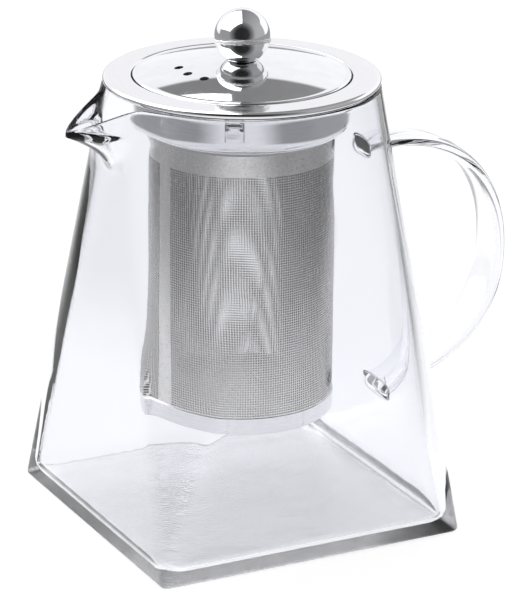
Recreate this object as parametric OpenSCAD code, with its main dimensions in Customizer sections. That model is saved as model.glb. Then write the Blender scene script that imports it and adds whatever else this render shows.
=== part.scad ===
// Square-based glass infuser jug: a glass body with a fused strap handle and a
// pulled lip, a steel strainer basket that lifts out, and a steel lid with a ball knob.
// Millimetres. +Z up, +X to the handle, -X to the lip, the base rests on z = 0.

/* [Jug] */
// Width of the square base, flat to flat
base_w = 109; // [100:0.5:116]
// Radius of the upright corners at the base
corner_r = 1.8; // [1:0.1:5]
// Height of the round glass rim above the base
rim_z = 147.2; // [146.5:0.1:147.2]
// Outer radius of the round glass rim
rim_r = 44.9; // [44:0.1:46]
// Thickness of the glass wall
wall_t = 2.1; // [1.5:0.1:2.6]
// Thickness of the glass floor
floor_t = 3.5; // [2.5:0.1:6]

/* [Pouring lip] */
// How far the tip of the lip stands out from the rim
lip_reach = 16.6; // [10:0.1:20]
// How far the tip of the lip drops below the rim
lip_drop = 8.5; // [4:0.1:12]
// Half width of the lip where it leaves the rim
lip_half_w = 11.5; // [8:0.1:16]
// Height of the keel under the lip, from where it leaves the wall to the tip
keel_h = 17.5; // [10:0.1:20]

/* [Handle] */
// Height of the upper joint of the handle on the wall
handle_top_z = 119.8; // [112:0.1:122]
// Height of the lower joint of the handle on the wall
handle_low_z = 34; // [26:0.5:44]
// Distance of the strap's middle from the jug's axis at its furthest
handle_reach = 95.3; // [88:0.1:104]
// Height at which the strap is furthest out
handle_mid_z = 80; // [72:0.1:84]
// Width of the strap at its upper end
strap_top_w = 11.5; // [8:0.1:14]
// Width of the strap at its lower end
strap_low_w = 13.6; // [10:0.1:18]
// Thickness of the strap
strap_t = 4.5; // [3.5:0.1:6]

/* [Strainer] */
// Outer radius of the rolled flange that sits on the rim
flange_r = 45; // [44.8:0.1:46]
// Thickness of the flange and collar sheet
collar_t = 0.6; // [0.4:0.05:0.8]
// Outer radius of the plain collar at its top
collar_r = 35.6; // [35.4:0.1:36]
// Number of small lugs pressed out of the collar
lug_count = 3; // [2:1:4]
// Outer radius of the mesh sleeve
sleeve_r = 30.3; // [28:0.1:30.6]
// Thickness of the mesh sheet
mesh_t = 0.4; // [0.3:0.05:0.6]
// Height of the underside of the basket above the table
basket_z = 36.8; // [20:0.1:60]

/* [Lid] */
// Outer radius of the lid's bead
lid_r = 35.3; // [35:0.1:35.4]
// Thickness of the lid sheet
lid_t = 0.6; // [0.4:0.05:0.8]
// Rise of the domed lid from its bead to its middle
dome_rise = 4.4; // [2:0.1:5]
// Radius of the three steam holes
steam_r = 1.5; // [1:0.1:2]
// Radius of the ball knob
ball_r = 9.1; // [7:0.1:11]
// Tilt of the ball's weld seam
seam_tilt = 11; // [0:0.5:14]

/* [Hidden] */

$fn = 96;

// The jug's skins are rings of points at fixed angles, closest together at the corners,
// where the upright edges turn, and at the middle of each side, where the lip is.
angle_steps = 10;            // per eighth of a turn
straight_steps = 6;          // rings up the plain part of a wall
lip_steps = 8;               // rings from the foot of the keel to the rim
edge_r = 2;                  // rounding under the outside of the base
inner_fillet = 4.5;          // rounding between the floor and the inside of the wall
inner_corner_r = 5;          // radius of the inner upright corners at the base
round_steps = 3;             // rings round each of these roundings
half_w = base_w / 2;
lip_sharpness = 0.16;        // how soft the keel of the lip is, as a share of its half width
lip_fade = 0.35;             // how softly the sides of the lip run out into the wall
lip_start = 0.75;            // half width of the lip at the foot of its keel, as a share of lip_half_w
keel_power = 2.4;            // how sharply the keel turns outward near the tip
skin_rise = 2.2;             // height of the inner skin's keel above the outer one
keel_z = rim_z - lip_drop - keel_h - skin_rise;

// The handle's centre line is two cubic curves that meet, upright, where it is furthest out.
wall_lean = (half_w - rim_r) / rim_z;
top_pull = 24.6;
top_angle = 11.5;
mid_pull_up = 29.7;
mid_pull_down = 33.5;
low_pull = 17.5;
low_angle = 23;
curve_steps = 16;
section_steps = 16;
strap_power = 0.7;           // below 1, the strap's section is squarer than an ellipse
widening = 0.625;            // the strap has its full width after this share of its length
joint_flare = 1.6;           // the glass spreads by this much where the strap meets the wall
flare_length = 3.33;

// Heights of the strainer's sheet, at the middle of its thickness.
flange_top_z = rim_z + 2.4;
flange_rise = 0.1;           // the flange is this much higher at its inner edge
flange_bend_r = 0.6;         // rounding at that edge, where the sheet turns down
flange_flat = 1.5;           // and it is level this far out from there
hem_z = rim_z + 0.6;
hem_return = 1.2;            // how far the rolled hem turns back under the flange
recess_z = rim_z + 1.2;      // the step that the lid hangs in
recess_w = 0.6;
recess_bend_r = 0.4;
recess_drop = 0.9;
band_low_z = rim_z - 10.4;
shoulder_r = 4.3;
neck_low_z = rim_z - 15.8;
neck_r = sleeve_r + collar_t / 2;
band_low_r = collar_r - 0.4;
lug_w = 6.2;
lug_slot_w = 4.8;
lug_slot_h = 1.8;
lug_top_z = rim_z - 4.2;
lug_out = 1.8;
lug_round = 0.6;             // the lug's face starts this far below its top
lug_face_h = 0.8;
lug_foot = 0.4;              // and its slope ends this far above the shoulder
lug_root = 0.1;              // a lug reaches this far into the sheet
first_lug = 239.5;
sleeve_top_z = neck_low_z + 0.8;
ring_h = 5.6;
ring_t = 0.4;
ring_lip = 2.6;

// Lid heights. The bead hangs just clear of the recess in the flange.
bead_bend_r = 0.3;
bead_z = rim_z + 2.85;
bead_run = 0.5;              // flat run of the sheet between the dome and the bead
dome_edge_r = lid_r - 1.5;
dome_edge_z = bead_z + 0.15;
dome_r = (dome_edge_r * dome_edge_r + dome_rise * dome_rise) / (2 * dome_rise);
dome_top_z = dome_edge_z + dome_rise;
skirt_r = 34.1;
skirt_t = 0.5;
skirt_h = 9;
skirt_lip = 3;
skirt_bend_r = 1;
skirt_seat = 0.1;            // the dome is this much higher over the skirt than at its own edge
ball_sink = 1.35;            // the ball is cut flat by this much where it stands on the lid
ball_z = dome_top_z + ball_r - ball_sink;
ball_t = 0.7;
seam_drop = 1.45;
seam_azimuth = -17;
screw_r = 2;
clear_hole_r = 2.2;
boss_r = 3.2;
boss_h = 7;
washer_r = 5;
washer_t = 0.8;
head_r = 3.6;
head_h = 2.2;
head_taper = 0.8;
cross_w = 0.9;
cross_l = 4;
cross_depth = 1.3;
screw_l = 8;
washer_gap = 0.02;
steam_ring_r = 20.8;
steam_turn = 186.9;
steam_step = 21;

through = 1;                 // a cut goes this far past the face that it opens

glass = [0.86, 0.93, 0.94, 0.35];
polished = [0.82, 0.83, 0.85];
plain_steel = [0.74, 0.74, 0.74];

function lerp(a, b, t) = a + (b - a) * t;
function reverse(list) = [for (i = [len(list) - 1:-1:0]) list[i]];

// ---- The jug's two skins ----

// Angle of column i, with the columns crowded at each multiple of 45 degrees.
function column_angle(i) =
    45 * (floor(i / angle_steps) + (1 - cos(180 * (i % angle_steps) / angle_steps)) / 2);

// Distance from the axis to a square of half width w with corners of radius c, at angle a.
function square_reach(w, c, a) =
    let (k = w - c, fold = abs((a + 45) % 90 - 45))
    w * tan(fold) <= k
        ? w / cos(fold)
        : k * (cos(fold) + sin(fold)) + sqrt(max(0, pow(c, 2) - pow(k * (cos(fold) - sin(fold)), 2)));

// The walls run straight from the square base to the round rim, so the half width and the
// corner radius both change evenly with height. inset is the distance in from the outside.
function wall_reach(z, a, inset, base_corner) =
    let (t = min(1, z / rim_z))
    square_reach(lerp(half_w, rim_r, t) - inset, lerp(base_corner, rim_r - inset, t), a);

// Share of the full reach that the lip has at a distance y from its middle plane, where
// share is how far the keel has come out: a V with a soft keel that fades into the wall.
function lip_v(y, half) =
    let (u = y / half, e = lip_sharpness,
         left = 1 - (sqrt(u * u + e * e) - e) / (sqrt(1 + e * e) - e))
    (left + norm([left, lip_fade])) / 2;
function lip_fold(y, share) =
    let (half = lip_half_w * lerp(lip_start, 1, share), end = lip_v(rim_r, half))
    (lip_v(y, half) - end) / (lip_v(0, half) - end);

function lip_side(a) = cos(a) < 0 ? abs(rim_r * sin(a)) : rim_r;
function rim_height(a) = rim_z - lip_drop * lip_fold(lip_side(a), 1);

// How far the skin stands out of the plain wall at height z and angle a. The keel curves
// out from keel_z, and the inner skin's keel starts higher by rise.
function lip_out(z, a, rise) =
    let (share = pow(min(1, max(0, (z - keel_z - rise) / keel_h)), keel_power))
    lip_reach * share * lip_fold(lip_side(a), share);

function skin_point(z, a, inset, base_corner, rise) =
    let (r = wall_reach(z, a, inset, base_corner) + lip_out(z, a, rise))
    [r * cos(a), r * sin(a), z];

// One column of points at angle a: under the base, up the outside, over the rim, down the
// inside and onto the floor.
function column(a) =
    let (top = rim_height(a), half_t = wall_t / 2, crest = top - half_t)
    concat(
        [for (i = [0:round_steps]) let (q = 90 * i / round_steps)
            skin_point(edge_r * (1 - cos(q)), a, edge_r * (1 - sin(q)), corner_r, 0)],
        [for (i = [1:straight_steps])
            skin_point(lerp(edge_r, keel_z, i / straight_steps), a, 0, corner_r, 0)],
        [for (i = [1:lip_steps])
            skin_point(lerp(keel_z, crest, i / lip_steps), a, 0, corner_r, 0)],
        [for (i = [1:round_steps])
            let (q = 180 * i / (round_steps + 1),
                 p = skin_point(crest, a, half_t, inner_corner_r, skin_rise / 2),
                 r = norm([p[0], p[1]]) + half_t * cos(q))
            [r * cos(a), r * sin(a), crest + half_t * sin(q)]],
        [for (i = [lip_steps:-1:0])
            skin_point(lerp(keel_z, crest, i / lip_steps), a, wall_t, inner_corner_r, skin_rise)],
        [for (i = [straight_steps - 1:-1:1])
            skin_point(lerp(floor_t + inner_fillet, keel_z, i / straight_steps), a, wall_t,
                       inner_corner_r, skin_rise)],
        [for (i = [0:round_steps]) let (q = 90 * i / round_steps)
            skin_point(floor_t + inner_fillet * (1 - sin(q)), a,
                       wall_t + inner_fillet * (1 - cos(q)), inner_corner_r, skin_rise)]
    );

module jug_body() {
    columns = 8 * angle_steps;
    grid = [for (i = [0:columns - 1]) column(column_angle(i))];
    rows = len(grid[0]);
    points = concat([for (c = grid) each c], [[0, 0, 0], [0, 0, floor_t]]);
    under = columns * rows;
    over = under + 1;
    function at(i, j) = (i % columns) * rows + j;
    color(glass)
        polyhedron(points, concat(
            [for (i = [0:columns - 1]) each concat(
                [[under, at(i, 0), at(i + 1, 0)], [over, at(i + 1, rows - 1), at(i, rows - 1)]],
                [for (j = [0:rows - 2]) each [
                    [at(i, j), at(i, j + 1), at(i + 1, j + 1)],
                    [at(i, j), at(i + 1, j + 1), at(i + 1, j)]]])]));
}

// ---- The handle ----

function bezier(p, t) =
    pow(1 - t, 3) * p[0] + 3 * pow(1 - t, 2) * t * p[1] + 3 * (1 - t) * t * t * p[2] + pow(t, 3) * p[3];
function bezier_way(p, t) =
    let (d = 3 * pow(1 - t, 2) * (p[1] - p[0]) + 6 * (1 - t) * t * (p[2] - p[1])
             + 3 * t * t * (p[3] - p[2]))
    d / norm(d);
function wall_x(z) = half_w - wall_lean * z;

handle_top = [wall_x(handle_top_z), handle_top_z];
handle_mid = [handle_reach, handle_mid_z];
handle_low = [wall_x(handle_low_z), handle_low_z];
upper_curve = [handle_top, handle_top + top_pull * [cos(top_angle), sin(top_angle)],
               handle_mid + [0, mid_pull_up], handle_mid];
lower_curve = [handle_mid, handle_mid - [0, mid_pull_down],
               handle_low + low_pull * [cos(low_angle), sin(low_angle)], handle_low];

// Each ring of the strap is an oval across the centre line, flat on its broad sides.
function strap_ring(p, way, w, t, on_wall) =
    [for (k = [0:section_steps - 1])
        let (q = 360 * k / section_steps,
             side = w / 2 * sign(cos(q)) * pow(abs(cos(q)), strap_power),
             out = t / 2 * sign(sin(q)) * pow(abs(sin(q)), strap_power),
             x = p[0] - way[1] * out, z = p[1] + way[0] * out,
             slide = on_wall ? (wall_x(z) - x) / (way[0] + wall_lean * way[1]) : 0)
        [x + slide * way[0], side, z + slide * way[1]]];

function flare(d) = joint_flare * exp(-pow(d / flare_length, 2));

module jug_handle() {
    steps = 2 * curve_steps;
    rings = [for (i = [0:steps])
        let (upper = i <= curve_steps,
             t = (upper ? i : i - curve_steps) / curve_steps,
             c = upper ? upper_curve : lower_curve,
             p = bezier(c, t),
             w = lerp(strap_top_w, strap_low_w, min(1, i / steps / widening)),
             spread = flare(min(norm(p - handle_top), norm(p - handle_low))))
        strap_ring(p, bezier_way(c, t), w + 2 * spread, strap_t + 2 * spread, i == 0 || i == steps)];
    last = steps * section_steps;
    color(glass)
        polyhedron([for (r = rings) each r], concat(
            [[for (k = [0:section_steps - 1]) k],
             [for (k = [section_steps - 1:-1:0]) last + k]],
            [for (i = [0:steps - 1], k = [0:section_steps - 1])
                let (a = i * section_steps + k, b = i * section_steps + (k + 1) % section_steps)
                [a, a + section_steps, b + section_steps, b]]));
}

// ---- Sheet metal, turned about the axis ----

// Points on an arc in the section plane, centre [radius, height].
function arc(centre, r, from, to, steps = 8) =
    [for (i = [0:steps]) let (q = lerp(from, to, i / steps)) centre + r * [cos(q), sin(q)]];

// The outline of a sheet of thickness t whose middle follows path.
function sheet(path, t) =
    let (last = len(path) - 1,
         side = [for (i = [0:last])
             let (d = path[min(last, i + 1)] - path[max(0, i - 1)])
             t / 2 * [-d[1], d[0]] / norm(d)])
    concat([for (i = [0:last]) path[i] + side[i]], reverse([for (i = [0:last]) path[i] - side[i]]));

module turned_sheet(path, t) { rotate_extrude() polygon(sheet(path, t)); }

module at_lugs() {
    for (i = [0:lug_count - 1]) rotate([0, 0, first_lug + 360 * i / lug_count]) children();
}

// The rolled hem, the flat flange, the recess that the lid sits in, the collar and its neck.
module strainer_collar() {
    half_t = collar_t / 2;
    hem_r = (flange_top_z - hem_z) / 2;
    hem = [flange_r - half_t - hem_r, (flange_top_z + hem_z) / 2];
    wall_r = collar_r - half_t;
    low_r = band_low_r - half_t;
    edge = [wall_r + recess_w + flange_bend_r, flange_top_z + flange_rise - flange_bend_r];
    path = concat(
        [hem + [-hem_return, -hem_r]],
        arc(hem, hem_r, -90, 90),
        [[edge[0] + flange_flat, edge[1] + flange_bend_r]],
        arc(edge, flange_bend_r, 90, 180, 3),
        arc([wall_r + recess_w - recess_bend_r, recess_z + recess_bend_r / 2], recess_bend_r, 0, -60, 3),
        [[wall_r, recess_z - recess_drop]],
        arc([low_r - shoulder_r, band_low_z], shoulder_r, 0, -70),
        [[neck_r, neck_low_z + recess_drop], [neck_r, neck_low_z]]);
    color(polished) {
        difference() {
            turned_sheet(path, collar_t);
            at_lugs() translate([collar_r, 0, lug_top_z + lug_slot_h / 2])
                cube([4 * lug_out, lug_slot_w, lug_slot_h], center = true);
        }
        at_lugs() rotate([90, 0, 0]) translate([0, 0, -lug_w / 2]) linear_extrude(lug_w)
            polygon([[collar_r - lug_root, lug_top_z], [collar_r + lug_out, lug_top_z - lug_round],
                     [collar_r + lug_out, lug_top_z - lug_round - lug_face_h],
                     [band_low_r - lug_root, band_low_z + lug_foot]]);
    }
}

// One sheet rolled into a tube. Its fine holes are left out of the solid.
module mesh_sleeve() {
    floor_z = basket_z + ring_t;
    color(plain_steel) difference() {
        translate([0, 0, floor_z]) cylinder(r = sleeve_r, h = sleeve_top_z - floor_z);
        translate([0, 0, floor_z - through])
            cylinder(r = sleeve_r - mesh_t, h = sleeve_top_z - floor_z + 2 * through);
    }
}

module mesh_floor() {
    color(plain_steel) translate([0, 0, basket_z + ring_t]) cylinder(r = sleeve_r - mesh_t, h = mesh_t);
}

// A thin cap ring that holds the sleeve and the mesh floor together.
module basket_ring() {
    color(polished) translate([0, 0, basket_z]) difference() {
        cylinder(r = sleeve_r + ring_t, h = ring_h);
        translate([0, 0, ring_t]) cylinder(r = sleeve_r, h = ring_h);
        translate([0, 0, -through]) cylinder(r = sleeve_r - ring_lip, h = ring_h);
    }
}

// ---- The lid ----

function dome_z(r) = dome_top_z - dome_r + sqrt(dome_r * dome_r - r * r);

module lid_dome() {
    half_t = lid_t / 2;
    steps = 12;
    path = concat(
        [for (i = [0:steps]) let (r = lerp(screw_r / 2, dome_edge_r, i / steps)) [r, dome_z(r) - half_t]],
        [[dome_edge_r + bead_run, dome_edge_z - half_t]],
        arc([lid_r - half_t - bead_bend_r, bead_z - half_t], bead_bend_r, 60, -90, 5));
    color(polished) difference() {
        turned_sheet(path, lid_t);
        translate([0, 0, dome_edge_z]) cylinder(r = clear_hole_r, h = 2 * dome_rise);
        for (i = [-1:1]) rotate([0, 0, steam_turn + steam_step * i])
            translate([steam_ring_r, 0, dome_edge_z]) cylinder(r = steam_r, h = 2 * dome_rise, $fn = 48);
    }
}

// A ring under the dome that keeps the lid in the middle of the collar.
module lid_skirt() {
    half_t = skirt_t / 2;
    top_z = dome_edge_z - lid_t - half_t + skirt_seat;
    path = concat(
        [[skirt_r - skirt_lip, top_z]],
        arc([skirt_r - half_t - skirt_bend_r, top_z - skirt_bend_r], skirt_bend_r, 90, 0, 4),
        [[skirt_r - half_t, top_z - skirt_h]]);
    color(plain_steel) turned_sheet(path, skirt_t);
}

// Everything below the weld plane of the ball, which is a little low and a little tilted.
module below_seam() {
    translate([0, 0, ball_z]) rotate([0, 0, seam_azimuth]) rotate([-seam_tilt, 0, 0])
        translate([-2 * ball_r, -2 * ball_r, -4 * ball_r - seam_drop])
            cube(4 * ball_r);
}

module hollow_ball() {
    difference() {
        translate([0, 0, ball_z]) sphere(ball_r);
        translate([0, 0, ball_z]) sphere(ball_r - ball_t);
        translate([0, 0, dome_top_z - ball_r]) cylinder(r = ball_r, h = ball_r);
    }
}

module knob_upper_shell() {
    color(polished) difference() {
        hollow_ball();
        below_seam();
    }
}

module knob_lower_shell() {
    color(polished) intersection() {
        hollow_ball();
        below_seam();
    }
}

// The threaded boss welded into the bottom of the ball. Its foot stands on the lid.
module knob_boss() {
    color(plain_steel) translate([0, 0, dome_top_z]) difference() {
        cylinder(r = boss_r, h = boss_h);
        translate([0, 0, -through]) cylinder(r = screw_r, h = boss_h + 2 * through);
    }
}

washer_z = dome_z(washer_r) - lid_t - washer_t - washer_gap;

module knob_washer() {
    color(plain_steel) translate([0, 0, washer_z]) difference() {
        cylinder(r = washer_r, h = washer_t);
        translate([0, 0, -through]) cylinder(r = clear_hole_r, h = washer_t + 2 * through);
    }
}

// A pan head screw from under the lid, with a cross recess.
module knob_screw() {
    color(plain_steel) translate([0, 0, washer_z]) {
        difference() {
            translate([0, 0, -head_h]) cylinder(r1 = head_r - head_taper, r2 = head_r, h = head_h);
            for (q = [0, 90]) rotate([0, 0, q])
                translate([-cross_l / 2, -cross_w / 2, -head_h - through])
                    cube([cross_l, cross_w, cross_depth + through]);
        }
        cylinder(r = screw_r, h = screw_l);
    }
}

jug_body();
jug_handle();
strainer_collar();
mesh_sleeve();
mesh_floor();
basket_ring();
lid_dome();
lid_skirt();
knob_upper_shell();
knob_lower_shell();
knob_boss();
knob_washer();
knob_screw();
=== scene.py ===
import math

import bmesh
import bpy
import numpy as np
from mathutils import Matrix, Vector


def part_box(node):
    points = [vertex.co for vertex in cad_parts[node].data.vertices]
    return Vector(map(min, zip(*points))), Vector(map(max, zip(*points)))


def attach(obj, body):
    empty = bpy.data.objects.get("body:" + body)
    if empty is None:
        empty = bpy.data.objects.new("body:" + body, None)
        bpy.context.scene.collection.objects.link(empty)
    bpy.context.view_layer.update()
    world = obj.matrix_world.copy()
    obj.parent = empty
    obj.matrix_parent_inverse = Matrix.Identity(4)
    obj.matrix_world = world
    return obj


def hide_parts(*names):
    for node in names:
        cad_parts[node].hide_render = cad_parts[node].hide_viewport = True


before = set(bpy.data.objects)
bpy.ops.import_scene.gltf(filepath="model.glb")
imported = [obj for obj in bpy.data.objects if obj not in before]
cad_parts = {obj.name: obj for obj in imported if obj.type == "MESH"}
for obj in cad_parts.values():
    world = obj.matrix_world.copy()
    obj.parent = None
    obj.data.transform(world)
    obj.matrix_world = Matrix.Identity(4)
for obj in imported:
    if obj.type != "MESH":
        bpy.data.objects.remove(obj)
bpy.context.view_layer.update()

MM = 0.001
TURN = 2 * math.pi


def low(node, axis):
    """Lowest coordinate of a CAD node along an axis, in millimetres."""
    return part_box(node)[0][axis] / MM


def high(node, axis):
    """Highest coordinate of a CAD node along an axis, in millimetres."""
    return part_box(node)[1][axis] / MM


def degrees(*angles):
    return [math.radians(a) for a in angles]


# ---- Sizes, in millimetres ----

# The glass body: a square base whose walls run straight up to a round rim.
EDGE_R = 2.0                 # rounding under the outside of the base
CORNER_R = 1.8               # upright corners at the base, outside and inside
INNER_CORNER_R = 5.0
INNER_FILLET = 4.5           # rounding between the floor and the wall
WALL_T = 2.1
FLOOR_T = 3.5
RIM_R = 44.9
RIM_Z = high("jug_body", 2)
HALF_W = (high("jug_body", 1) - RIM_R * EDGE_R / RIM_Z) / (1 - EDGE_R / RIM_Z)
LEAN = (HALF_W - RIM_R) / RIM_Z

# The pouring lip.
LIP_REACH = 16.6
LIP_DROP = 8.5
LIP_HALF_W = 11.5
LIP_START = 0.75             # its half width at the foot of the keel, as a share of the full one
LIP_SHARPNESS = 0.16
LIP_FADE = 0.35              # how softly its sides run out into the wall
KEEL_H = 17.5
KEEL_POWER = 2.4
SKIN_RISE = 2.2
KEEL_Z = RIM_Z - LIP_DROP - KEEL_H - SKIN_RISE

# The strap handle: two cubic curves in the XZ plane that meet where it is furthest out.
STRAP_T = 4.5
STRAP_TOP_W = 11.5
STRAP_LOW_W = high("jug_handle", 1) - low("jug_handle", 1)
STRAP_POWER = 0.7            # below 1, the section is squarer than an ellipse
WIDENING = 0.625
JOINT_R = 1.9                # fillet where the strap is fused to the wall
HANDLE_TOP_Z = 119.8
HANDLE_LOW_Z = 34.0
HANDLE_MID_Z = 80.0
HANDLE_REACH = high("jug_handle", 0) - STRAP_T / 2
TOP_PULL, TOP_ANGLE = 24.6, math.radians(11.5)
LOW_PULL, LOW_ANGLE = 17.5, math.radians(23)
MID_PULL_UP, MID_PULL_DOWN = 29.7, 33.5

# The strainer.
COLLAR_T = 0.6
COLLAR_R = 35.6
FLANGE_R = high("strainer_collar", 0)
FLANGE_TOP_Z = RIM_Z + 2.4
FLANGE_RISE = 0.1            # the flange is this much higher at its inner edge
FLANGE_BEND_R = 0.6
FLANGE_FLAT = 1.5            # and level this far out from there
HEM_Z = RIM_Z + 0.6
HEM_RETURN = 1.2             # how far the rolled hem turns back under the flange
RECESS_Z = RIM_Z + 1.2       # the step that the lid hangs in
RECESS_W = 0.6
RECESS_BEND_R = 0.4
RECESS_DROP = 0.9
BAND_LOW_Z = RIM_Z - 10.4
BAND_LOW_R = COLLAR_R - 0.4
SHOULDER_R = 4.3
NECK_LOW_Z = low("strainer_collar", 2)
LUG_COUNT = 3
FIRST_LUG = 239.5            # degrees
LUG_HALF_W = 3.1
SLOT_HALF_W = 2.4
LUG_EDGE = 0.4               # width of the sloping side of a lug
SLOT_H = 1.8
LUG_TOP_Z = RIM_Z - 4.2
LUG_FOOT = 0.4               # a lug's slope ends this far above the shoulder
LUG_FACE_H = 1.4             # and starts this far below its top
LUG_OUT = 1.8
SLEEVE_R = high("mesh_sleeve", 0)
SLEEVE_LOW_Z = low("mesh_sleeve", 2)
SLEEVE_TOP_Z = high("mesh_sleeve", 2)
MESH_T = 0.4
MESH_PITCH = 0.83
FOOT_BAND = 0.5              # plain strip between the cap ring and the first holes
MESH_OPEN = 0.62             # width of a hole as a share of the pitch
PLAIN_BAND = 7.2             # plain height at the top of the sleeve
SEAM_AT = 189.0              # degrees, where the rolled sleeve's plain seam is
SEAM_HALF_W = 2.9
RING_LOW_Z = low("basket_ring", 2)
RING_H = high("basket_ring", 2) - RING_LOW_Z
RING_T = 0.4
RING_LIP = 2.6
RING_BEND_R = 0.5

# The lid.
LID_T = 0.6
LID_R = high("lid_dome", 0)
DOME_TOP_Z = high("lid_dome", 2)
DOME_RISE = 4.4
DOME_EDGE_R = LID_R - 1.5
DOME_EDGE_Z = DOME_TOP_Z - DOME_RISE
DOME_R = (DOME_EDGE_R ** 2 + DOME_RISE ** 2) / (2 * DOME_RISE)
BEAD_R = 0.3
BEAD_Z = DOME_EDGE_Z - 0.15
BEAD_RUN = 0.5
BORE_R = 2.2
STEAM_R = 1.5
STEAM_RING_R = 20.8
STEAM_TURN, STEAM_STEP = 186.9, 21.0     # degrees
SKIRT_T = 0.5
SKIRT_R = high("lid_skirt", 0)
SKIRT_TOP_Z = high("lid_skirt", 2)
SKIRT_LOW_Z = low("lid_skirt", 2)
SKIRT_LIP = 3.0
SKIRT_BEND_R = 1.0
BALL_R = 9.1
BALL_T = 0.7
BALL_Z = high("knob_upper_shell", 2) - BALL_R
SEAM_DROP = 1.45             # the weld plane passes this far below the ball's middle
SEAM_TILT, SEAM_AZIMUTH = degrees(-11, -17)


# ---- Meshes ----

def lerp(a, b, t):
    return a + (b - a) * t


def make_object(name, vertices, faces, smooth_angle=None):
    """A mesh object from points in millimetres, without loose or doubled points, facing outward."""
    mesh = bpy.data.meshes.new(name)
    mesh.from_pydata([tuple(v) for v in np.asarray(vertices, float) * MM], [], faces)
    work = bmesh.new()
    work.from_mesh(mesh)
    bmesh.ops.delete(work, geom=[v for v in work.verts if not v.link_faces], context="VERTS")
    bmesh.ops.remove_doubles(work, verts=work.verts, dist=1e-7)
    bmesh.ops.recalc_face_normals(work, faces=work.faces)
    work.to_mesh(mesh)
    work.free()
    ob = bpy.data.objects.new(name, mesh)
    bpy.context.scene.collection.objects.link(ob)
    shade(ob, smooth_angle)
    return ob


def shade(ob, smooth_angle=None):
    """Smooth shading, with edges sharper than the angle left crisp."""
    ob.data.shade_smooth()
    if smooth_angle is not None:
        ob.data.set_sharp_from_angle(angle=math.radians(smooth_angle))


def skin(name, grid, low_pole=None, high_pole=None, smooth_angle=None):
    """A closed skin of rings: grid[row, column], joined round the columns and capped by two poles."""
    grid = np.asarray(grid, float)
    rows, columns, _ = grid.shape
    points = grid.reshape(-1, 3).tolist() + [low_pole, high_pole]
    faces = []
    for i in range(columns):
        k = (i + 1) % columns
        for j in range(rows - 1):
            a, b = j * columns, (j + 1) * columns
            faces.append((a + i, a + k, b + k, b + i))
        last = (rows - 1) * columns
        faces.append((i, rows * columns, k))
        faces.append((last + i, last + k, rows * columns + 1))
    return make_object(name, points, faces, smooth_angle)


def thin_sheet(name, outer, inner, solid=None, round_trip=True, smooth_angle=35):
    """Sheet metal from its two faces, each point[i, j]. Cell [i, j] is metal where solid says so,
    and a wall closes each edge of the metal. With round_trip the last i meets the first."""
    across, along, _ = outer.shape
    cells = across if round_trip else across - 1
    if solid is None:
        solid = np.ones((cells, along - 1), bool)
    total = across * along

    def at(i, j, side):
        return (i % across) * along + j + side * total

    i, j = np.nonzero(solid)
    faces = [np.stack([at(i, j, 1), at(i + 1, j, 1), at(i + 1, j + 1, 1), at(i, j + 1, 1)], 1),
             np.stack([at(i, j, 0), at(i, j + 1, 0), at(i + 1, j + 1, 0), at(i + 1, j, 0)], 1)]
    if round_trip:
        before = np.roll(solid, 1, axis=0)
        i, j = np.nonzero(before != solid)
    else:
        padded = np.pad(solid, ((1, 1), (0, 0)))
        i, j = np.nonzero(padded[1:] != padded[:-1])
    faces.append(np.stack([at(i, j, 0), at(i, j + 1, 0), at(i, j + 1, 1), at(i, j, 1)], 1))
    padded = np.pad(solid, ((0, 0), (1, 1)))
    i, j = np.nonzero(padded[:, 1:] != padded[:, :-1])
    faces.append(np.stack([at(i, j, 0), at(i + 1, j, 0), at(i + 1, j, 1), at(i, j, 1)], 1))
    points = np.concatenate([inner.reshape(-1, 3), outer.reshape(-1, 3)])
    return make_object(name, points, np.concatenate(faces).tolist(), smooth_angle)


def arc(centre, r, start, end, steps):
    """Points on an arc in the section plane, from start to end in degrees."""
    q = np.radians(np.linspace(start, end, steps + 1))
    return np.stack([centre[0] + r * np.cos(q), centre[1] + r * np.sin(q)], 1)


def section(path, t):
    """The two faces of a sheet of thickness t whose middle follows path: (left side, right side)."""
    path = np.asarray(path, float)
    way = np.gradient(path, axis=0)
    way /= np.linalg.norm(way, axis=1)[:, None]
    side = t / 2 * np.stack([-way[:, 1], way[:, 0]], 1)
    return path + side, path - side


def around(profile, angles):
    """Turns a profile of (radius, height) about the axis: point[angle, station]."""
    r, z = profile[:, 0], profile[:, 1]
    return np.stack([np.cos(angles)[:, None] * r, np.sin(angles)[:, None] * r,
                     np.broadcast_to(z, (len(angles), len(z)))], 2)


def ring_angles(count, start=0.0):
    return math.radians(start) + np.arange(count) * TURN / count


def turned(name, path, t, segments=256, smooth_angle=35):
    """A sheet turned about the axis."""
    left, right = section(path, t)
    angles = ring_angles(segments)
    return thin_sheet(name, around(right, angles), around(left, angles), smooth_angle=smooth_angle)


def cut_or_fuse(ob, other, operation):
    """Applies a boolean of the other object to ob, and removes the other."""
    modifier = ob.modifiers.new("cut", "BOOLEAN")
    modifier.operation = operation
    modifier.solver = "EXACT"
    modifier.object = other
    depsgraph = bpy.context.evaluated_depsgraph_get()
    made = bpy.data.meshes.new_from_object(ob.evaluated_get(depsgraph))
    ob.modifiers.clear()
    ob.data = made
    bpy.data.objects.remove(other)


# ---- Materials ----

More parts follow.
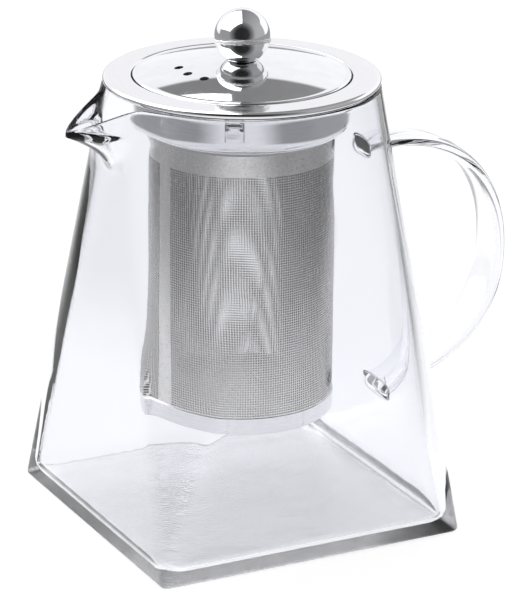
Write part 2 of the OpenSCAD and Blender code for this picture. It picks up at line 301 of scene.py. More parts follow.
class Nodes:
    """A few shorthands for building a material's nodes."""

    def __init__(self, name, **values):
        self.material = bpy.data.materials.new(name)
        self.material.use_nodes = True
        self.tree = self.material.node_tree
        self.shader = self.tree.nodes["Principled BSDF"]
        for socket, value in values.items():
            self.shader.inputs[socket.replace("_", " ")].default_value = value
        self.place = self.add("ShaderNodeTexCoord").outputs["Object"]

    def add(self, kind, **settings):
        node = self.tree.nodes.new(kind)
        for key, value in settings.items():
            setattr(node, key, value)
        return node

    def link(self, source, target):
        self.tree.links.new(source, target)

    def math(self, operation, a, b):
        """A Math node's output. Each of a and b is a number or an output."""
        node = self.add("ShaderNodeMath", operation=operation)
        for socket, value in zip(node.inputs, (a, b)):
            if isinstance(value, (int, float)):
                socket.default_value = value
            else:
                self.link(value, socket)
        return node.outputs[0]

    def parts(self, vector):
        """The three parts of a vector."""
        node = self.add("ShaderNodeSeparateXYZ")
        self.link(vector, node.inputs[0])
        return node.outputs

    def stretched(self, scale):
        """The place on the object, scaled by three numbers."""
        node = self.add("ShaderNodeMapping")
        node.inputs["Scale"].default_value = scale
        self.link(self.place, node.inputs["Vector"])
        return node.outputs[0]

    def turned_place(self, per_radius, per_height, per_turn):
        """(radius, height, angle about the axis), each scaled, for marks that run round the axis."""
        x, y, z = self.parts(self.place)
        radius = self.math("SQRT", self.math("ADD", self.math("MULTIPLY", x, x),
                                             self.math("MULTIPLY", y, y)), 0)
        join = self.add("ShaderNodeCombineXYZ")
        for value, scale, socket in ((radius, per_radius, 0), (z, per_height, 1),
                                     (self.math("ARCTAN2", y, x), per_turn, 2)):
            self.link(self.math("MULTIPLY", value, scale), join.inputs[socket])
        return join.outputs[0]

    def noise(self, place, scale, detail=3.0, roughness=0.5):
        node = self.add("ShaderNodeTexNoise")
        node.inputs["Scale"].default_value = scale
        node.inputs["Detail"].default_value = detail
        node.inputs["Roughness"].default_value = roughness
        self.link(place, node.inputs["Vector"])
        return node.outputs["Fac"]

    def mapped(self, value, from_low, from_high, to_low, to_high):
        node = self.add("ShaderNodeMapRange")
        for socket, number in zip(node.inputs[1:5], (from_low, from_high, to_low, to_high)):
            socket.default_value = number
        self.link(value, node.inputs[0])
        return node.outputs[0]

    def tint(self, value, stops):
        """A colour ramp: stops are (position, colour)."""
        node = self.add("ShaderNodeValToRGB")
        ramp = node.color_ramp
        while len(ramp.elements) < len(stops):
            ramp.elements.new(0.5)
        for element, (position, colour) in zip(ramp.elements, stops):
            element.position = position
            element.color = (*colour, 1)
        self.link(value, node.inputs[0])
        return node.outputs[0]

    def relief(self, height, strength, distance):
        node = self.add("ShaderNodeBump")
        node.inputs["Strength"].default_value = strength
        node.inputs["Distance"].default_value = distance
        self.link(height, node.inputs["Height"])
        self.link(node.outputs[0], self.shader.inputs["Normal"])

    def roughness(self, value):
        self.link(value, self.shader.inputs["Roughness"])

    def colour(self, value):
        self.link(value, self.shader.inputs["Base Color"])


def clear_glass():
    """Blown glass: clear, with the slow waves that blowing leaves, and with a ground underside.
    The index is a little low for glass, and the tint a little lavender."""
    made = Nodes("clear_glass", Base_Color=(0.93, 0.935, 0.96, 1), Roughness=0.0, IOR=1.42,
                 Transmission_Weight=1.0)
    waves = made.noise(made.stretched((1, 1, 0.35)), 55, detail=1.0)
    height = made.parts(made.place)[2]
    ground = made.mapped(height, 0.6 * EDGE_R * MM, 1.1 * EDGE_R * MM, 0.8, 0.0)
    grain = made.math("MULTIPLY", made.noise(made.place, 2500, detail=1.0), ground)
    made.relief(made.math("ADD", waves, grain), 0.25, 0.0012)
    return made.material


def mirror_steel():
    """Pressed and buffed stainless steel: a mirror with faint buffing haze."""
    made = Nodes("mirror_steel", Metallic=1.0)
    haze = made.noise(made.place, 160, detail=4)
    made.roughness(made.mapped(haze, 0.3, 0.7, 0.025, 0.06))
    made.colour(made.tint(haze, [(0.3, (0.78, 0.785, 0.80)), (0.7, (0.84, 0.845, 0.855))]))
    made.relief(made.noise(made.stretched((1, 1, 3)), 1400, detail=2), 0.02, 0.0001)
    return made.material


def polished_steel():
    """Drawn sheet, polished on a lathe: bright, with fine marks that run round it."""
    made = Nodes("polished_steel", Metallic=1.0)
    marks = made.noise(made.turned_place(2600, 2600, 3), 1, detail=3)
    made.roughness(made.mapped(marks, 0.3, 0.7, 0.07, 0.13))
    made.colour(made.tint(marks, [(0.3, (0.77, 0.77, 0.785)), (0.7, (0.82, 0.82, 0.835))]))
    made.relief(marks, 0.015, 0.00005)
    return made.material


def strainer_steel():
    """Thin etched sheet: satin, with a slightly uneven tone from etching. The inside of the
    rolled sleeve and the walls of its holes are painted much darker, as painted shade, so the holes read
    dark."""
    made = Nodes("strainer_steel", Metallic=1.0)
    etch = made.noise(made.place, 900, detail=4)
    patches = made.noise(made.stretched((1, 1, 0.4)), 70, detail=2)
    made.roughness(made.mapped(etch, 0.3, 0.7, 0.2, 0.3))
    tone = made.tint(patches, [(0.3, (0.72, 0.71, 0.695)), (0.7, (0.8, 0.79, 0.775))])
    radius, height, _ = made.parts(made.turned_place(1, 1, 1))
    # Painted shade: the inner face and the hole walls get a fifth of the tone, so the holes look dark;
    # the foot, where the disc is, keeps its full tone.
    outside = made.mapped(radius, (SLEEVE_R - 0.3) * MM, (SLEEVE_R - 0.1) * MM, 0.2, 1)
    disc = made.mapped(height, (SLEEVE_LOW_Z + 1) * MM, (SLEEVE_LOW_Z + 2) * MM, 1, 0)
    tone_with_painted_shade = made.add("ShaderNodeVectorMath", operation="SCALE")
    made.link(tone, tone_with_painted_shade.inputs[0])
    made.link(made.math("MAXIMUM", outside, disc), tone_with_painted_shade.inputs["Scale"])
    made.colour(tone_with_painted_shade.outputs[0])
    made.relief(etch, 0.1, 0.00005)
    return made.material


def plain_steel():
    """Turned steel, as cut: fine tool marks round the axis."""
    made = Nodes("plain_steel", Metallic=1.0)
    marks = made.noise(made.turned_place(5000, 5000, 2), 1, detail=2)
    made.roughness(made.mapped(marks, 0.3, 0.7, 0.22, 0.4))
    made.colour(made.tint(marks, [(0.3, (0.5, 0.5, 0.51)), (0.7, (0.66, 0.66, 0.67))]))
    made.relief(marks, 0.15, 0.0001)
    return made.material


def weld_steel():
    """The unground weld round the ball: pale, rough and lumpy."""
    made = Nodes("weld_steel", Metallic=1.0)
    lumps = made.noise(made.place, 1500, detail=4, roughness=0.65)
    made.roughness(made.mapped(lumps, 0.3, 0.7, 0.4, 0.7))
    made.colour(made.tint(lumps, [(0.35, (0.8, 0.79, 0.78)), (0.65, (0.96, 0.955, 0.95))]))
    made.relief(lumps, 0.6, 0.0002)
    return made.material


MATERIALS = {"clear_glass": clear_glass(), "mirror_steel": mirror_steel(),
             "polished_steel": polished_steel(), "strainer_steel": strainer_steel(),
             "plain_steel": plain_steel()}


def fit(ob, body, slot, nodes, material=None):
    """Gives a piece its material, the body it rides on and the CAD nodes it stands for."""
    ob.data.materials.clear()
    ob.data.materials.append(material or MATERIALS[slot])
    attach(ob, body)
    if nodes:
        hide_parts(*nodes)
    return ob


# ---- The glass jug ----

def square_reach(w, c, a):
    """Distance from the axis to a square of half width w with corners of radius c, at angle a."""
    k = w - c
    fold = np.abs((a + TURN / 8) % (TURN / 4) - TURN / 8)
    across = k * (np.cos(fold) - np.sin(fold))
    rounded = k * (np.cos(fold) + np.sin(fold)) + np.sqrt(np.maximum(0, c * c - across * across))
    return np.where(w * np.tan(fold) <= k, w / np.cos(fold), rounded)


def wall_reach(z, a, inset, base_corner):
    t = np.minimum(1, z / RIM_Z)
    return square_reach(lerp(HALF_W, RIM_R, t) - inset, lerp(base_corner, RIM_R - inset, t), a)


def lip_fold(y, share):
    """Share of the full reach that the lip has at distance y from its middle plane."""
    half = LIP_HALF_W * lerp(LIP_START, 1, share)
    end = lip_v(RIM_R / half)
    return (lip_v(y / half) - end) / (lip_v(0) - end)


def lip_v(u):
    """A V across the lip with a soft keel at u = 0 and sides that fade out beyond u = 1."""
    e = LIP_SHARPNESS
    left = 1 - (np.sqrt(u * u + e * e) - e) / (math.sqrt(1 + e * e) - e)
    return (left + np.hypot(left, LIP_FADE)) / 2


def lip_side(a):
    return np.where(np.cos(a) < 0, np.abs(RIM_R * np.sin(a)), RIM_R)


def lip_out(z, a, rise):
    """How far the skin stands out of the plain wall at the lip."""
    share = np.clip((z - KEEL_Z - rise) / KEEL_H, 0, 1) ** KEEL_POWER
    return LIP_REACH * share * lip_fold(lip_side(a), share)


def ring_at(z, a, inset, base_corner, rise):
    """One ring of the skin at heights z, one for each angle."""
    r = wall_reach(z, a, inset, base_corner) + lip_out(z, a, rise)
    return np.stack([r * np.cos(a), r * np.sin(a), np.broadcast_to(z, a.shape)], 1)


def jug_angles(steps=34):
    """Angles of the columns, crowded at every eighth of a turn."""
    i = np.arange(8 * steps)
    return TURN / 8 * (i // steps + (1 - np.cos(math.pi * (i % steps) / steps)) / 2)


def outer_rings(a, crest, round_steps, straight_steps, lip_steps):
    rings = []
    for q in np.linspace(0, math.pi / 2, round_steps + 1):
        rings.append(ring_at(EDGE_R * (1 - math.cos(q)), a, EDGE_R * (1 - math.sin(q)), CORNER_R, 0))
    for t in np.linspace(0, 1, straight_steps + 1)[1:]:
        rings.append(ring_at(lerp(EDGE_R, KEEL_Z, t), a, 0, CORNER_R, 0))
    for t in np.linspace(0, 1, lip_steps + 1)[1:]:
        rings.append(ring_at(lerp(KEEL_Z, crest, t), a, 0, CORNER_R, 0))
    return rings


def rim_rings(a, crest, steps=8):
    """The rounded top edge, from the outer skin to the inner one."""
    middle = ring_at(crest, a, WALL_T / 2, INNER_CORNER_R, SKIN_RISE / 2)
    r = np.hypot(middle[:, 0], middle[:, 1])
    rings = []
    for q in np.linspace(0, math.pi, steps + 1)[1:-1]:
        reach = r + WALL_T / 2 * math.cos(q)
        z = crest + WALL_T / 2 * math.sin(q)
        rings.append(np.stack([reach * np.cos(a), reach * np.sin(a), z], 1))
    return rings


def inner_rings(a, crest, round_steps, straight_steps, lip_steps):
    foot = FLOOR_T + INNER_FILLET
    rings = []
    for t in np.linspace(1, 0, lip_steps + 1):
        rings.append(ring_at(lerp(KEEL_Z, crest, t), a, WALL_T, INNER_CORNER_R, SKIN_RISE))
    for t in np.linspace(1, 0, straight_steps + 1)[1:-1]:
        rings.append(ring_at(lerp(foot, KEEL_Z, t), a, WALL_T, INNER_CORNER_R, SKIN_RISE))
    for q in np.linspace(0, math.pi / 2, round_steps + 1):
        rings.append(ring_at(foot - INNER_FILLET * math.sin(q), a,
                             WALL_T + INNER_FILLET * (1 - math.cos(q)), INNER_CORNER_R, SKIN_RISE))
    return rings


def jug_shell():
    """The blown body: one closed skin, from under the base, over the rim, to the floor."""
    a = jug_angles()
    crest = RIM_Z - LIP_DROP * lip_fold(lip_side(a), 1) - WALL_T / 2
    outer = outer_rings(a, crest, 6, 30, 30)
    inner = inner_rings(a, crest, 8, 30, 30)
    shrink = np.array([0.9, 0.9, 1])
    rings = [outer[0] * shrink] + outer + rim_rings(a, crest) + inner + [inner[-1] * shrink]
    return skin("jug_glass", rings, (0, 0, 0), (0, 0, FLOOR_T))


def wall_x(z):
    return HALF_W - LEAN * z


def handle_line():
    """Closely spaced points of the strap's centre line in the XZ plane, from the top joint down."""
    top = np.array([wall_x(HANDLE_TOP_Z), HANDLE_TOP_Z])
    mid = np.array([HANDLE_REACH, HANDLE_MID_Z])
    foot = np.array([wall_x(HANDLE_LOW_Z), HANDLE_LOW_Z])
    upper = [top, top + TOP_PULL * np.array([math.cos(TOP_ANGLE), math.sin(TOP_ANGLE)]),
             mid + [0, MID_PULL_UP], mid]
    lower = [mid, mid - [0, MID_PULL_DOWN],
             foot + LOW_PULL * np.array([math.cos(LOW_ANGLE), math.sin(LOW_ANGLE)]), foot]
    t = np.linspace(0, 1, 400)[:, None]
    curves = [(1 - t) ** 3 * p[0] + 3 * (1 - t) ** 2 * t * p[1] + 3 * (1 - t) * t * t * p[2]
              + t ** 3 * p[3] for p in (upper, lower)]
    return np.concatenate([curves[0], curves[1][1:]])


def strap(section_steps=48, spacing=1.1, fillet_steps=9, sunk=1.2):
    """The strap, with a fillet at each end and its ends sunk into the wall, ready to be fused."""
    line = handle_line()
    way = np.gradient(line, axis=0)
    way /= np.linalg.norm(way, axis=1)[:, None]
    length = np.concatenate([[0], np.cumsum(np.linalg.norm(np.diff(line, axis=0), axis=1))])
    near = JOINT_R * (1 - np.cos(np.linspace(0, math.pi / 2, fillet_steps + 1)))
    middle = np.linspace(JOINT_R, length[-1] - JOINT_R, int(length[-1] / spacing))
    stations = np.concatenate([near[:-1], middle, (length[-1] - near[:-1])[::-1]])
    q = np.arange(section_steps) * TURN / section_steps
    side = np.sign(np.cos(q)) * np.abs(np.cos(q)) ** STRAP_POWER
    out = np.sign(np.sin(q)) * np.abs(np.sin(q)) ** STRAP_POWER
    rings = []
    for s in stations:
        p = [np.interp(s, length, line[:, k]) for k in (0, 1)]
        d = [np.interp(s, length, way[:, k]) for k in (0, 1)]
        from_end = min(s, length[-1] - s)
        spread = JOINT_R - math.sqrt(max(0, JOINT_R ** 2 - max(0, JOINT_R - from_end) ** 2))
        w = lerp(STRAP_TOP_W, STRAP_LOW_W, min(1, s / length[-1] / WIDENING)) / 2 + spread
        t = STRAP_T / 2 + spread
        x, z = p[0] - d[1] * t * out, p[1] + d[0] * t * out
        if from_end < JOINT_R:           # lean the ring towards the wall's own plane
            slide = (wall_x(z) + from_end - x) / (d[0] + LEAN * d[1]) * (1 - from_end / JOINT_R)
            x, z = x + slide * d[0], z + slide * d[1]
        rings.append(np.stack([x, w * side, z], 1))
    inward = np.array([-sunk, 0, 0])
    rings = [rings[0] + inward] + rings + [rings[-1] + inward]
    return skin("strap", rings, rings[0].mean(0), rings[-1].mean(0))


def jug():
    body = jug_shell()
    cut_or_fuse(body, strap(), "UNION")
    shade(body, 50)
    return fit(body, "jug", "clear_glass", ["jug_body", "jug_handle"])


# ---- The strainer ----

def collar_path():
    """The middle of the flange and collar sheet in section, from under the hem to the neck."""
    half_t = COLLAR_T / 2
    hem_r = (FLANGE_TOP_Z - HEM_Z) / 2
    hem = np.array([FLANGE_R - half_t - hem_r, (FLANGE_TOP_Z + HEM_Z) / 2])
    wall_r, low_r = COLLAR_R - half_t, BAND_LOW_R - half_t
    top, bottom = np.array([wall_r, RECESS_Z - RECESS_DROP]), np.array([low_r, BAND_LOW_Z])
    above_lug = [2.6, SLOT_H, 0, -0.15, -0.4, -0.8, -LUG_FACE_H, -2.4, -4, -5.6]
    band = [lerp(bottom, top, (LUG_TOP_Z + d - bottom[1]) / (top[1] - bottom[1])) for d in above_lug]
    edge = wall_r + RECESS_W + FLANGE_BEND_R
    edge_z = FLANGE_TOP_Z + FLANGE_RISE
    return np.concatenate([
        [hem + [-HEM_RETURN, -hem_r]],
        arc(hem, hem_r, -90, 90, 18),
        [[hem[0] - 1.5, FLANGE_TOP_Z + 0.02], [edge + FLANGE_FLAT, edge_z]],
        arc([edge, edge_z - FLANGE_BEND_R], FLANGE_BEND_R, 90, 180, 8),
        arc([wall_r + RECESS_W - RECESS_BEND_R, RECESS_Z + RECESS_BEND_R / 2], RECESS_BEND_R,
            0, -60, 6),
        [top], band,
        arc([low_r - SHOULDER_R, BAND_LOW_Z], SHOULDER_R, 0, -70, 18),
        [[SLEEVE_R + half_t, NECK_LOW_Z + 1.1], [SLEEVE_R + half_t, NECK_LOW_Z]]])


def lug_lift(side, z):
    """How far the collar is pressed out at distance side from a lug's middle and height z."""
    across = np.clip((LUG_HALF_W - np.abs(side)) / LUG_EDGE, 0, 1)
    below = LUG_TOP_Z - z
    slope_low, slope_high = BAND_LOW_Z + LUG_FOOT, LUG_TOP_Z - LUG_FACE_H
    rise = np.clip((z - slope_low) / (slope_high - slope_low), 0, 1)
    corner = np.clip(1 - np.maximum(0, np.abs(side) - SLOT_HALF_W + 1.2 - below) / 2, 0, 1)
    top = np.where(below >= -0.01, np.clip(0.75 + below / 1.6, 0, 1), 0)
    return LUG_OUT * across * rise * top * np.where(below >= -0.01, corner, 0)


def collar():
    """The flange, the recess, the collar with its pressed lugs and slots, and the neck."""
    path = collar_path()
    period = TURN / LUG_COUNT
    marks = [SLOT_HALF_W, LUG_HALF_W - LUG_EDGE, LUG_HALF_W - LUG_EDGE / 2, LUG_HALF_W, LUG_HALF_W + 0.2]
    marks = np.array([0, 0.8, 1.6] + marks) / COLLAR_R
    plain = np.linspace(marks[-1], period - marks[-1], 110)[1:-1]
    off = np.concatenate([-marks[:0:-1], marks, plain])
    angles = np.concatenate([math.radians(FIRST_LUG) + k * period + off for k in range(LUG_COUNT)])
    off = np.tile(np.where(off > period / 2, off - period, off), LUG_COUNT)
    left, right = section(path, COLLAR_T)
    faces = [around(left, angles), around(right, angles)]
    on_band = ((path[:, 0] > BAND_LOW_R - COLLAR_T) & (path[:, 0] < COLLAR_R)
               & (path[:, 1] < LUG_TOP_Z + 0.5))
    for points in faces:
        side = COLLAR_R * off[:, None]
        lift = lug_lift(side, points[:, :, 2]) * on_band
        points[:, :, 0] += lift * np.cos(angles)[:, None]
        points[:, :, 1] += lift * np.sin(angles)[:, None]
    middle = (off + np.roll(off, -1)) / 2
    in_slot = (np.abs(middle * COLLAR_R) < SLOT_HALF_W) & (np.abs(off * COLLAR_R) < LUG_HALF_W)
    rows = (path[:-1, 1] + path[1:, 1]) / 2
    level = (rows > LUG_TOP_Z) & (rows < LUG_TOP_Z + SLOT_H) & on_band[1:]
    solid = ~(in_slot[:, None] & level[None, :])
    return fit(thin_sheet("collar_and_flange", faces[0], faces[1], solid), "infuser",
               "polished_steel", ["strainer_collar"])


def hole_lines(start, pitch, count):
    """The edges of a row of holes: two lines for each hole, and one at each end of the row."""
    inset = pitch * (1 - MESH_OPEN) / 2
    lines = [start + k * pitch + d for k in range(count) for d in (inset, pitch - inset)]
    return np.array([start] + lines + [start + count * pitch])


def sleeve():
    """The rolled tube, in three lengths, with square holes etched all over but for a plain band
    at the top, the seam and the part inside the cap ring."""
    columns = round(TURN * SLEEVE_R / MESH_PITCH)
    start = RING_LOW_Z + RING_H + FOOT_BAND
    rows = int((SLEEVE_TOP_Z - PLAIN_BAND - start) / MESH_PITCH)
    step = TURN / columns
    angles = np.array([k * step + d for k in range(columns)
                       for d in (0, step * MESH_OPEN)]) + math.radians(SEAM_AT)
    middle = (angles - math.radians(SEAM_AT) + step * MESH_OPEN / 2 + math.pi) % TURN - math.pi
    seam = np.abs(middle * SLEEVE_R) < SEAM_HALF_W
    parts = []
    for k, name in enumerate(("sleeve_lower", "sleeve_middle", "sleeve_upper")):
        first, last = rows * k // 3, rows * (k + 1) // 3
        z = hole_lines(start + first * MESH_PITCH, MESH_PITCH, last - first)
        holed = np.arange(len(z) - 1) % 2 == 1
        if k == 0:
            z, holed = np.append(SLEEVE_LOW_Z, z), np.append(False, holed)
        if k == 2:
            z, holed = np.append(z, [SLEEVE_TOP_Z - 4, SLEEVE_TOP_Z]), np.append(holed, [False, False])
        is_hole = (np.arange(len(angles)) % 2 == 0) & ~seam
        solid = ~(is_hole[:, None] & holed[None, :])
        outer = around(np.stack([np.full_like(z, SLEEVE_R), z], 1), angles)
        inner = around(np.stack([np.full_like(z, SLEEVE_R - MESH_T), z], 1), angles)
        parts.append(fit(thin_sheet(name, outer, inner, solid), "infuser", "strainer_steel",
                         ["mesh_sleeve"]))
    return parts


def mesh_floor():
    """The etched disc that closes the sleeve: a square grid of holes inside a plain round edge."""
    radius = high("mesh_floor", 0)
    z = low("mesh_floor", 2)
    count = 2 * int(radius / MESH_PITCH) + 2
    lines = hole_lines(-count / 2 * MESH_PITCH, MESH_PITCH, count)
    x, y = np.meshgrid(lines, lines, indexing="ij")
    r = np.hypot(x, y)
    shrink = np.minimum(1, radius / np.maximum(r, 1e-6))
    corners = np.stack([r[:-1, :-1], r[1:, :-1], r[:-1, 1:], r[1:, 1:]])
    middle = (lines[:-1] + lines[1:]) / 2
    far = np.hypot(middle[:, None], middle[None, :])
    odd = np.arange(len(lines) - 1) % 2 == 1
    holes = odd[:, None] & odd[None, :] & (far < radius - RING_LIP)
    solid = (corners.min(0) < radius - 0.02) & ~holes
    faces = [np.stack([x * shrink, y * shrink, np.full_like(x, h)], 2) for h in (z + MESH_T, z)]
    return fit(thin_sheet("basket_floor", faces[0], faces[1], solid, round_trip=False), "infuser",
               "strainer_steel", ["mesh_floor"])


def cap_ring():
    """The pressed ring round the foot of the basket, turned in underneath."""
    half_t = RING_T / 2
    outer = SLEEVE_R + half_t
    path = np.concatenate([
        [[outer, RING_LOW_Z + RING_H], [outer, RING_LOW_Z + RING_H - 0.4], [outer, RING_LOW_Z + 2]],
        arc([outer - RING_BEND_R, RING_LOW_Z + half_t + RING_BEND_R], RING_BEND_R, 0, -90, 8),
        [[SLEEVE_R - RING_LIP, RING_LOW_Z + half_t]]])
    return fit(turned("cap_ring", path, RING_T), "infuser", "polished_steel", ["basket_ring"])


# ---- The lid ----

def dome_z(r):
    return DOME_TOP_Z - DOME_R + np.sqrt(DOME_R ** 2 - r * r)


def drill(ob, x, y, r, z_low, z_high, steps=64):
    """Drills a round upright hole through a piece."""
    q = ring_angles(steps)
    rings = [np.stack([x + r * np.cos(q), y + r * np.sin(q), np.full_like(q, z)], 1)
             for z in (z_low, z_high)]
    cut_or_fuse(ob, skin("drill", rings, (x, y, z_low), (x, y, z_high)), "DIFFERENCE")


def lid():
    """The domed sheet with its rolled bead, its screw hole and three steam holes."""
    half_t = LID_T / 2
    r = np.linspace(BORE_R, DOME_EDGE_R, 40)
    edge = np.array([DOME_EDGE_R + BEAD_RUN, DOME_EDGE_Z - half_t])
    path = np.concatenate([
        np.stack([r, dome_z(r) - half_t], 1), [edge],
        arc([LID_R - half_t - BEAD_R, BEAD_Z - half_t], BEAD_R, 60, -90, 8)])
    ob = turned("lid_shell", path, LID_T)
    for angle in degrees(STEAM_TURN - STEAM_STEP, STEAM_TURN, STEAM_TURN + STEAM_STEP):
        drill(ob, STEAM_RING_R * math.cos(angle), STEAM_RING_R * math.sin(angle), STEAM_R,
              DOME_EDGE_Z, DOME_TOP_Z + 3)
    shade(ob, 35)
    return fit(ob, "lid", "mirror_steel", ["lid_dome"])


def skirt():
    """The ring under the dome that keeps the lid in the middle of the collar."""
    half_t = SKIRT_T / 2
    outer, top = SKIRT_R - half_t, SKIRT_TOP_Z - half_t
    path = np.concatenate([
        [[SKIRT_R - SKIRT_LIP, top]],
        arc([outer - SKIRT_BEND_R, top - SKIRT_BEND_R], SKIRT_BEND_R, 90, 0, 10),
        [[outer, SKIRT_LOW_Z + 0.5], [outer, SKIRT_LOW_Z]]])
    return fit(turned("lid_skirt_ring", path, SKIRT_T), "lid", "strainer_steel", ["lid_skirt"])


def seam_normal():
    """The upward normal of the ball's weld plane."""
    turn = Matrix.Rotation(SEAM_AZIMUTH, 3, "Z") @ Matrix.Rotation(SEAM_TILT, 3, "X")
    return turn @ Vector((0, 0, 1))


def seam_latitude(radius, q):
    """Latitude of the weld plane on a ball of this radius, at angles q about the axis."""
    n = seam_normal()
    a, b = n.x * np.cos(q) + n.y * np.sin(q), n.z
    return np.arcsin(-SEAM_DROP / radius / np.hypot(a, b)) - np.arctan2(a, b)


def ball_shell(name, node, upper):
    """Half of the hollow ball, on one side of the weld plane."""
    q = ring_angles(160)
    t = np.linspace(0, 1, 56)[None, :]
    faces = []
    for radius in (BALL_R, BALL_R - BALL_T):
        seam = seam_latitude(radius, q)[:, None]
        end = math.pi / 2 if upper else -math.asin((BALL_Z - DOME_TOP_Z) / radius)
        lat = lerp(seam, end, t)
        faces.append(np.stack([radius * np.cos(lat) * np.cos(q)[:, None],
                               radius * np.cos(lat) * np.sin(q)[:, None],
                               BALL_Z + radius * np.sin(lat)], 2))
    return fit(thin_sheet(name, faces[0], faces[1]), "lid", "mirror_steel", [node])


def ball_weld(steps=240, section_steps=14):
    """The uneven bead of weld where the two halves of the ball meet."""
    n = seam_normal()
    across = n.orthogonal().normalized()
    along = n.cross(across)
    centre = Vector((0, 0, BALL_Z)) - SEAM_DROP * n
    ring_r = math.sqrt(BALL_R ** 2 - SEAM_DROP ** 2)
    rings = []
    for i in range(steps):
        q = TURN * i / steps
        out = math.cos(q) * across + math.sin(q) * along
        lump = 0.5 + 0.2 * math.sin(23 * q + 1) * math.sin(7 * q) + 0.16 * math.sin(41 * q + 2)
        drift = 0.1 * math.sin(13 * q) + 0.07 * math.sin(29 * q + 0.6)
        wide, tall = 0.6 + 0.2 * lump, 0.2 + 0.14 * lump
        ring = []
        for k in range(section_steps):
            u = TURN * k / section_steps
            ring.append(centre + (ring_r - 0.08 + tall * math.cos(u)) * out
                        + (drift + wide * math.sin(u)) * n)
        rings.append(ring)
    faces = []
    for i in range(steps):
        a, b = i * section_steps, (i + 1) % steps * section_steps
        for k in range(section_steps):
            after = (k + 1) % section_steps
            faces.append((a + k, b + k, b + after, a + after))
    points = [tuple(point) for ring in rings for point in ring]
    ob = make_object("ball_weld", points, faces)
    return fit(ob, "lid", "mirror_steel", [], weld_steel())


def dress_hidden_parts():
    """The turned parts under the knob keep their CAD shape and get a finish."""
    for node in ("knob_boss", "knob_washer", "knob_screw"):
        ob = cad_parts[node]
        for slot in ob.material_slots:
            slot.material = MATERIALS["plain_steel"]


# ---- Studio ----

CAMERA_AZIMUTH, CAMERA_ELEVATION, CAMERA_ROLL = degrees(-27.453, 19.819, 0.6025)
CAMERA_DISTANCE = 1.16127
CAMERA_AIM = Vector((0, 0, 0.080))
CAMERA_SLIDE = (0.00826, -0.00724)       # to the right and up
CAMERA_LENS = 212.07                     # millimetres, on a 36 mm sensor

FLOOR_DROP = 0.0003                      # the floor is just clear of the glass
FLOOR_REACH = 6
# The pool of light below is painted light: the floor itself glows there, no lamp makes it.
POOL_CENTRE = 0.25                       # how far the pool of light lies behind the object
POOL_HALF_L, POOL_HALF_W = 0.75, 0.2
POOL_FADE = 1.5                          # it ends at this many times its half sizes
KEY_SIZE, KEY_WATTS = (1.65, 1.45), 18


def camera_axes():
    """The camera's right, up and back directions."""
    az, el, roll = CAMERA_AZIMUTH, CAMERA_ELEVATION, CAMERA_ROLL
    back = Vector((math.sin(az) * math.cos(el), -math.cos(az) * math.cos(el), math.sin(el)))
    level = (-back).cross(Vector((0, 0, 1))).normalized()
    upright = level.cross(-back)
    right = math.cos(roll) * level + math.sin(roll) * upright
    up = math.cos(roll) * upright - math.sin(roll) * level
    return right, up, back


def away_from_camera():
    """The level direction that points away from the camera."""
    _, _, back = camera_axes()
    return Vector((-back.x, -back.y, 0)).normalized()


def add_camera():
    """A long lens, above and to the left of the front."""
    right, up, back = camera_axes()
    data = bpy.data.cameras.new("camera")
    data.lens = CAMERA_LENS
    data.sensor_width = 36
    data.clip_end = 50
    ob = bpy.data.objects.new("camera", data)
    bpy.context.scene.collection.objects.link(ob)
    turn = Matrix((right, up, back)).transposed().to_4x4()
    place = CAMERA_AIM + CAMERA_DISTANCE * back + CAMERA_SLIDE[0] * right + CAMERA_SLIDE[1] * up
    ob.matrix_world = Matrix.Translation(place) @ turn
    bpy.context.scene.camera = ob


def add_softbox(name, place, toward, along, size, watts):
    """A rectangular light that faces toward, with its first side along a direction."""
    data = bpy.data.lights.new(name, "AREA")
    data.shape = "RECTANGLE"
    data.size, data.size_y = size
    data.energy = watts
    ob = bpy.data.objects.new(name, data)
    bpy.context.scene.collection.objects.link(ob)
    z = -toward.normalized()
    x = (along - along.dot(z) * z).normalized()
    ob.matrix_world = Matrix.Translation(place) @ Matrix((x, z.cross(x), z)).transposed().to_4x4()
    ob.visible_camera = False
    return ob


def add_lights():
    """The big softbox above and to the left that the steel mirrors."""
    right, up, back = camera_axes()
    knob = Vector((0, 0, BALL_Z * MM))
    way = (-0.52 * right + 0.86 * up + 0.05 * back).normalized()
    slide = 0.13 * back - 0.12 * right - 0.06 * up
    key = add_softbox("key_softbox", knob + way + slide, -way, back, KEY_SIZE, KEY_WATTS)
    key.visible_diffuse = False


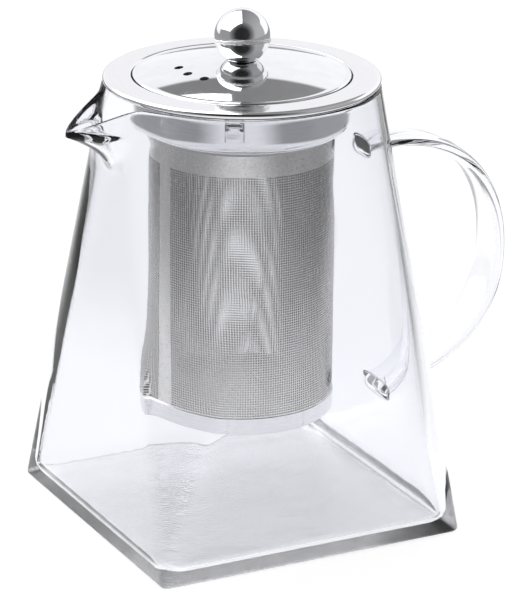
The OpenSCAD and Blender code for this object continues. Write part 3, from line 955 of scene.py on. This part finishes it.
def add_world():
    """A plain white backdrop for the camera. Reflections see a white wall behind the object, a
    grey room elsewhere, and the dark place where the camera stands."""
    world = bpy.data.worlds.new("studio")
    world.use_nodes = True
    bpy.context.scene.world = world
    tree = world.node_tree
    nodes, link = tree.nodes, tree.links.new
    shown = nodes["Background"]
    right, _, back = camera_axes()
    direction = nodes.new("ShaderNodeTexCoord").outputs["Generated"]

    def facing(toward):
        node = nodes.new("ShaderNodeVectorMath")
        node.operation = "DOT_PRODUCT"
        node.inputs[1].default_value = toward
        link(direction, node.inputs[0])
        return node.outputs["Value"]

    def ramp(value, stops):
        node = nodes.new("ShaderNodeValToRGB")
        while len(node.color_ramp.elements) < len(stops):
            node.color_ramp.elements.new(0.5)
        for element, (position, level) in zip(node.color_ramp.elements, stops):
            element.position = position
            element.color = (level, level, level * 1.01, 1)
        link(value, node.inputs[0])
        return node.outputs[0]

    def mix(kind, a, b):
        node = nodes.new("ShaderNodeMix")
        node.data_type = "RGBA"
        node.blend_type = kind
        node.inputs[0].default_value = 1
        link(a, node.inputs[6])
        link(b, node.inputs[7])
        return node.outputs[2]

    wall = mix("MULTIPLY", ramp(facing(away_from_camera()), [(0.24, 0.0), (0.36, 0.8)]),
               ramp(facing((0, 0, 1)), [(0.50, 1.0), (0.52, 0.0)]))
    sides = mix("ADD", ramp(facing(right), [(0.0, 0.26), (0.9, 0.5)]),
                ramp(facing(-right), [(0.1, 0.0), (0.8, 0.1)]))
    room = mix("MULTIPLY", sides, ramp(facing(back), [(0.55, 1.0), (0.9, 0.1)]))
    surroundings = nodes.new("ShaderNodeBackground")
    link(mix("ADD", room, wall), surroundings.inputs["Color"])
    shown.inputs["Color"].default_value = (1, 1, 1, 1)
    shown.inputs["Strength"].default_value = 1.1
    pick = nodes.new("ShaderNodeMixShader")
    link(nodes.new("ShaderNodeLightPath").outputs["Is Camera Ray"], pick.inputs[0])
    link(surroundings.outputs[0], pick.inputs[1])
    link(shown.outputs[0], pick.inputs[2])
    link(pick.outputs[0], nodes["World Output"].inputs["Surface"])


def add_floor():
    """A plain pale floor that glows, brightest under and behind the object: a painted pool of light."""
    mesh = bpy.data.meshes.new("floor")
    corners = [(-1, -1), (1, -1), (1, 1), (-1, 1)]
    mesh.from_pydata([(x * FLOOR_REACH, y * FLOOR_REACH, -FLOOR_DROP) for x, y in corners],
                     [], [(0, 1, 2, 3)])
    ob = bpy.data.objects.new("floor", mesh)
    bpy.context.scene.collection.objects.link(ob)
    made = Nodes("floor_paper_with_painted_glow", Base_Color=(0.8, 0.8, 0.8, 1), Roughness=0.9,
                 Emission_Color=(1, 1, 1, 1))
    pool = made.add("ShaderNodeMapping", vector_type="TEXTURE")
    away = away_from_camera()
    pool.inputs["Location"].default_value = POOL_CENTRE * away
    pool.inputs["Rotation"].default_value = (0, 0, math.atan2(away.y, away.x))
    pool.inputs["Scale"].default_value = (POOL_HALF_L, POOL_HALF_W, 1)
    made.link(made.place, pool.inputs["Vector"])
    reach = made.add("ShaderNodeVectorMath", operation="LENGTH")
    made.link(pool.outputs[0], reach.inputs[0])
    # Painted light: the floor's emission strength makes the pool of light, fading out from its middle.
    made.link(made.mapped(reach.outputs["Value"], 1, POOL_FADE, 0.76, 0.06),
              made.shader.inputs["Emission Strength"])
    mesh.materials.append(made.material)


add_camera()
add_lights()
add_world()
add_floor()
bpy.context.scene.view_settings.view_transform = "Standard"

jug()
collar()
sleeve()
mesh_floor()
cap_ring()
lid()
skirt()
ball_shell("ball_upper", "knob_upper_shell", True)
ball_shell("ball_lower", "knob_lower_shell", False)
ball_weld()
dress_hidden_parts()
